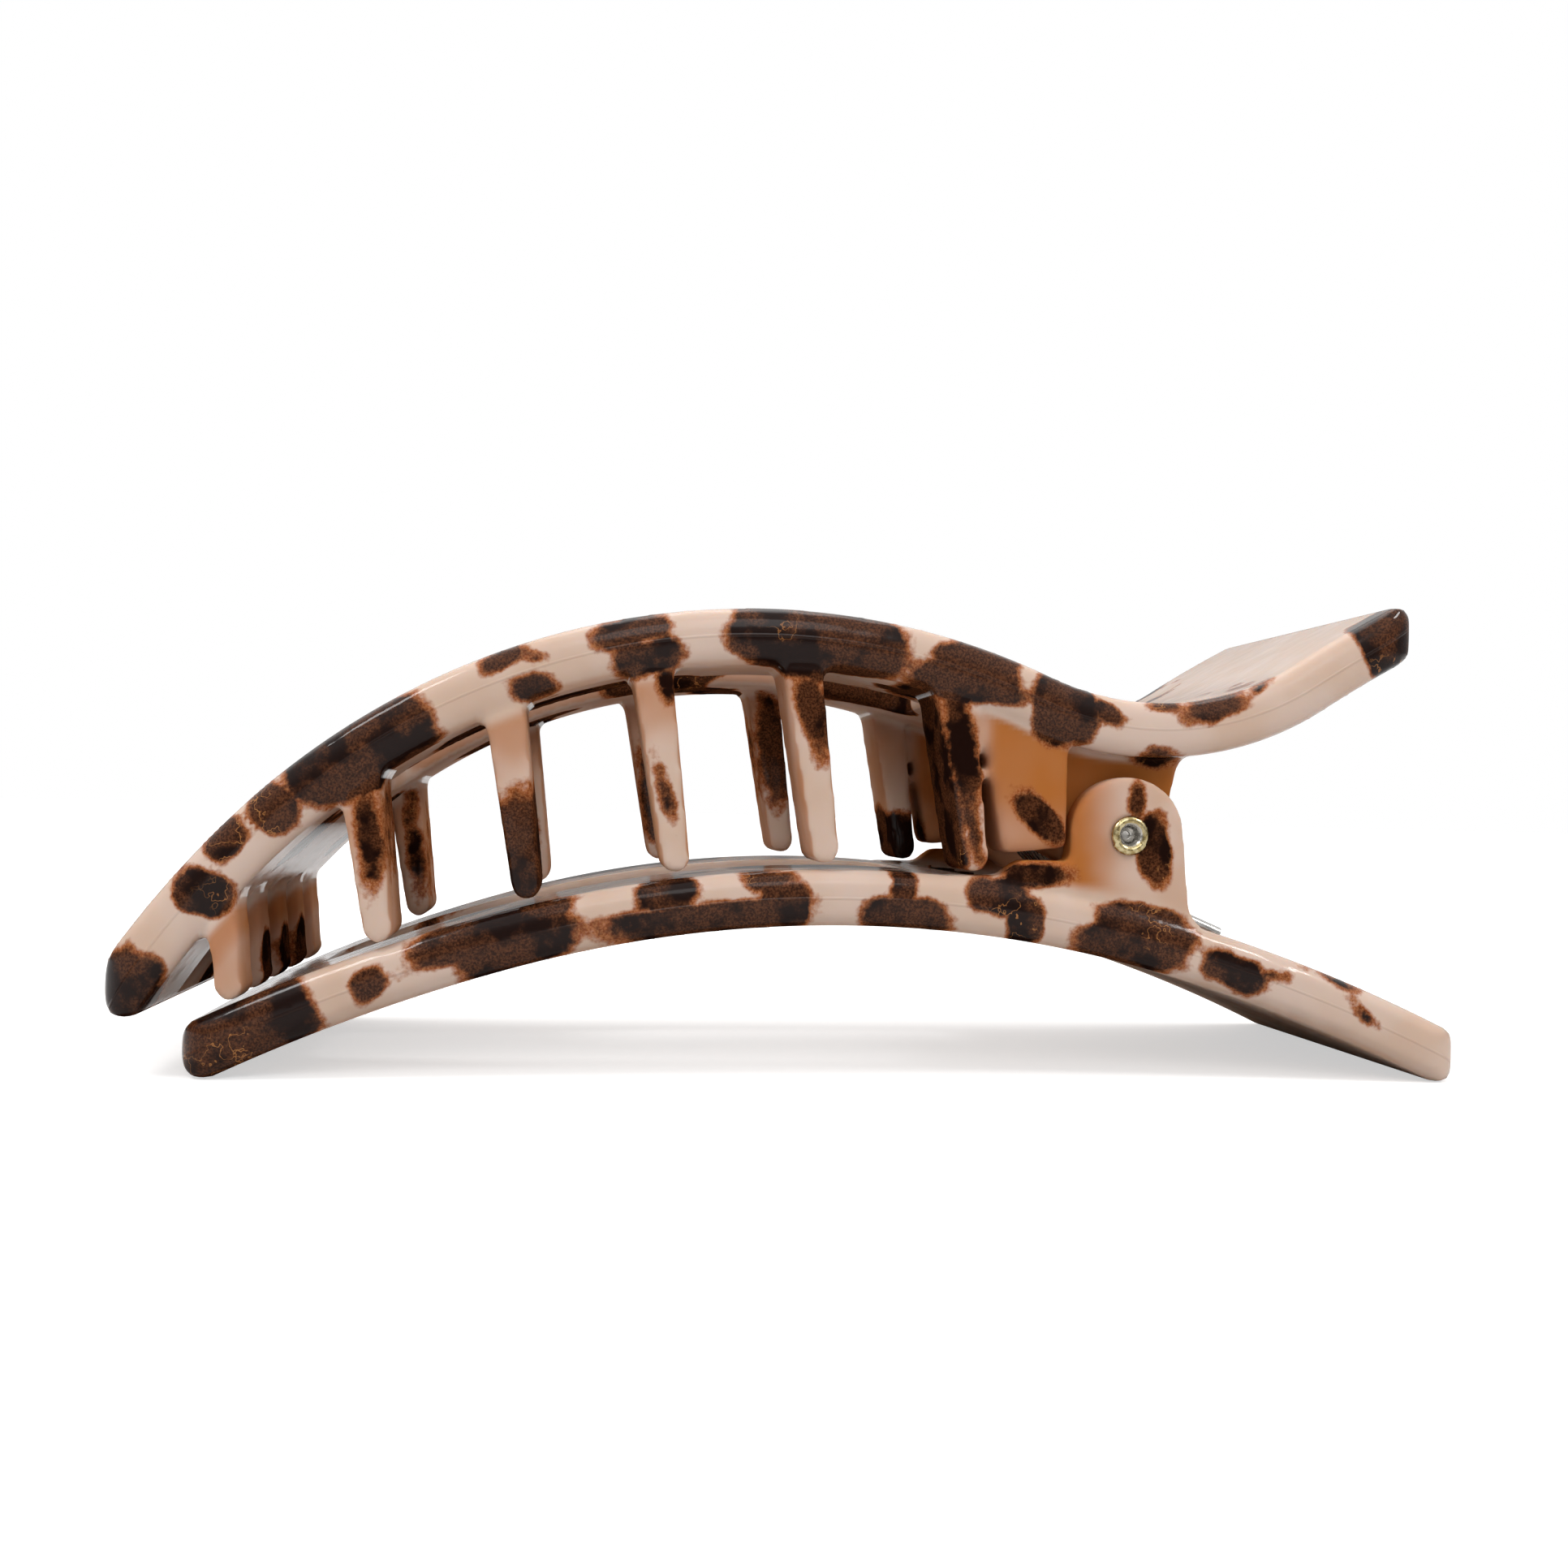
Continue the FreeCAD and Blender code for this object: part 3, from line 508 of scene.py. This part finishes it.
near_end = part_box("hinge_rivet")[0][1] / MM
far_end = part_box("hinge_rivet")[1][1] / MM
RIVET_PROFILE = [
    (0.0, near_end + 1.55), (0.3, near_end + 1.5), (0.34, near_end + 1.3), (0.55, near_end + 1.2),
    (0.7, near_end + 0.95), (0.76, near_end + 0.42),
    (0.84, near_end + 0.16), (1.0, near_end + 0.03), (1.2, near_end), (1.42, near_end + 0.07),
    (1.56, near_end + 0.24), (1.53, near_end + 0.42), (1.36, near_end + 0.5), (1.15, near_end + 0.52),
    (1.15, far_end - 0.5), (2.0, far_end - 0.5), (2.1, far_end - 0.38), (1.95, far_end - 0.2),
    (1.5, far_end - 0.07), (0.8, far_end - 0.01), (0.0, far_end)]
SPLIT = (math.radians(-147), math.radians(-32))


def spun_rivet():
    form = bmesh.new()
    chain = [form.verts.new((hinge.x + radius, y, hinge.z)) for radius, y in RIVET_PROFILE]
    for first, second in zip(chain, chain[1:]):
        form.edges.new((first, second))
    bmesh.ops.spin(form, geom=form.verts[:] + form.edges[:], cent=hinge, axis=(0, 1, 0), dvec=(0, 0, 0),
                   angle=2 * math.pi, steps=96, use_merge=True)
    bmesh.ops.remove_doubles(form, verts=form.verts, dist=0.0005)
    for vert in form.verts:
        out = Vector((vert.co.x - hinge.x, 0, vert.co.z - hinge.z))
        angle = math.atan2(out.z, out.x)
        if vert.co.y < near_end + 0.5 and out.length > 0.8 and SPLIT[0] < angle < SPLIT[1]:
            vert.co += out.normalized() * 0.12 + Vector((0, 0.06, 0))
    bmesh.ops.recalc_face_normals(form, faces=form.faces)
    bmesh.ops.scale(form, vec=(MM, MM, MM), verts=form.verts)
    for face in form.faces:
        face.smooth = True
    mesh = bpy.data.meshes.new("rolled_rivet")
    form.to_mesh(mesh)
    form.free()
    mesh.set_sharp_from_angle(angle=math.radians(50))
    return mesh


rivet = bpy.data.objects.new("rolled_rivet", spun_rivet())
scene.collection.objects.link(rivet)

brass, tree = new_material("rolled_brass")
from_axis = add(tree, "Mapping", {"Vector": add(tree, "TexCoord").outputs["Object"], "Scale": (1000, 0, 1000),
                                  "Location": (-hinge.x, 0, -hinge.z)})
radius = add(tree, "VectorMath", {0: from_axis.outputs[0]}, operation="LENGTH").outputs["Value"]
scuffs = add(tree, "TexNoise", {"Vector": add(tree, "TexCoord").outputs["Object"], "Scale": 2600.0,
                                "Detail": 4.0}).outputs["Fac"]
worn = math_of(tree, "ADD", radius, math_of(tree, "MULTIPLY", scuffs, 0.25))
bare = ranged(tree, worn, 1.16, 1.0)
tint = mixed(tree, ranged(tree, scuffs, 0.35, 0.7), (0.36, 0.27, 0.115, 1), (0.66, 0.56, 0.33, 1))
colour = mixed(tree, bare, tint, (0.52, 0.50, 0.47, 1))
dents = add(tree, "Bump", {"Height": scuffs, "Distance": 0.03 * MM, "Strength": 0.5})
metal = add(tree, "BsdfPrincipled", {
    "Base Color": colour, "Metallic": 1.0, "Normal": dents.outputs[0],
    "Roughness": ranged(tree, scuffs, 0.3, 0.75, 0.16, 0.34)})
add(tree, "OutputMaterial", {"Surface": metal.outputs[0]})
rivet.data.materials.append(brass)
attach(rivet, "lower_body")
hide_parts("hinge_rivet")


# ---- Torsion spring ----
# Drawn steel wire wound round the rivet between the knuckles. One leg lies under the thumb tab
# and the other on the finger tab, and the winding tightens as the clip is squeezed open.

WIRE_RADIUS = 0.55
COIL_RADIUS = 3.2
PITCH = 1.18
UPPER_LEG_ANGLE = 109.22
TURNS = 9.383
STEPS_PER_TURN = 36
LEG_LENGTH = 15.4
half_coil = TURNS * PITCH / 2


def drawn_on(form, edges, way):
    """Draws the wire's rim on by one straight length, and returns what that made."""
    made = bmesh.ops.extrude_edge_only(form, edges=edges)["geom"]
    verts = [part for part in made if isinstance(part, bmesh.types.BMVert)]
    bmesh.ops.translate(form, verts=verts, vec=way)
    return made


def wound_spring():
    """The wire's round section, drawn back along the upper leg, wound, and drawn on along the
    lower leg."""
    form = bmesh.new()
    section = bmesh.ops.create_circle(form, segments=14, radius=WIRE_RADIUS)["verts"]
    angle = math.radians(UPPER_LEG_ANGLE)
    outwards = Vector((math.cos(angle), 0, math.sin(angle)))
    heading = Vector((-math.sin(angle), 0, math.cos(angle)))
    turn = Matrix((outwards, (0, 1, 0), heading)).transposed()
    start = hinge + outwards * COIL_RADIUS + Vector((0, half_coil, 0)) - heading * LEG_LENGTH
    bmesh.ops.rotate(form, verts=section, matrix=turn)
    bmesh.ops.translate(form, verts=section, vec=start)
    rim = form.edges[:]
    bmesh.ops.contextual_create(form, geom=rim)
    drawn = drawn_on(form, rim, heading * LEG_LENGTH)
    ends = [g for g in drawn if not isinstance(g, bmesh.types.BMFace)]
    steps = round(TURNS * STEPS_PER_TURN)
    wound = bmesh.ops.spin(form, geom=ends, cent=hinge, axis=(0, -1, 0), dvec=(0, -2 * half_coil / steps, 0),
                           angle=TURNS * 2 * math.pi, steps=steps, use_merge=False)["geom_last"]
    last = [g for g in wound if isinstance(g, bmesh.types.BMEdge)]
    angle += TURNS * 2 * math.pi
    heading = Vector((-math.sin(angle), 0, math.cos(angle)))
    drawn = drawn_on(form, last, heading * LEG_LENGTH)
    bmesh.ops.contextual_create(form, geom=[g for g in drawn if isinstance(g, bmesh.types.BMEdge)])
    bmesh.ops.recalc_face_normals(form, faces=form.faces)
    bmesh.ops.scale(form, vec=(MM, MM, MM), verts=form.verts)
    for face in form.faces:
        face.smooth = True
    mesh = bpy.data.meshes.new("wound_spring")
    form.to_mesh(mesh)
    form.free()
    mesh.set_sharp_from_angle(angle=math.radians(50))
    return mesh


spring = bpy.data.objects.new("wound_spring", wound_spring())
scene.collection.objects.link(spring)
steel, tree = new_material("drawn_steel")
place = add(tree, "TexCoord").outputs["Object"]
along_wire = add(tree, "Mapping", {"Vector": place, "Scale": (700, 6000, 700)})
die_marks = add(tree, "TexNoise", {"Vector": along_wire.outputs[0], "Scale": 1.0,
                                   "Detail": 3.0}).outputs["Fac"]
shade = mixed(tree, ranged(tree, die_marks, 0.3, 0.7), (0.36, 0.35, 0.34, 1), (0.66, 0.65, 0.63, 1))
lines = add(tree, "Bump", {"Height": die_marks, "Distance": 0.02 * MM, "Strength": 0.4})
wire = add(tree, "BsdfPrincipled", {
    "Base Color": shade, "Metallic": 1.0, "Normal": lines.outputs[0],
    "Roughness": ranged(tree, die_marks, 0.3, 0.7, 0.2, 0.36)})
add(tree, "OutputMaterial", {"Surface": wire.outputs[0]})
spring.data.materials.append(steel)
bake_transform(spring)
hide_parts("torsion_spring")
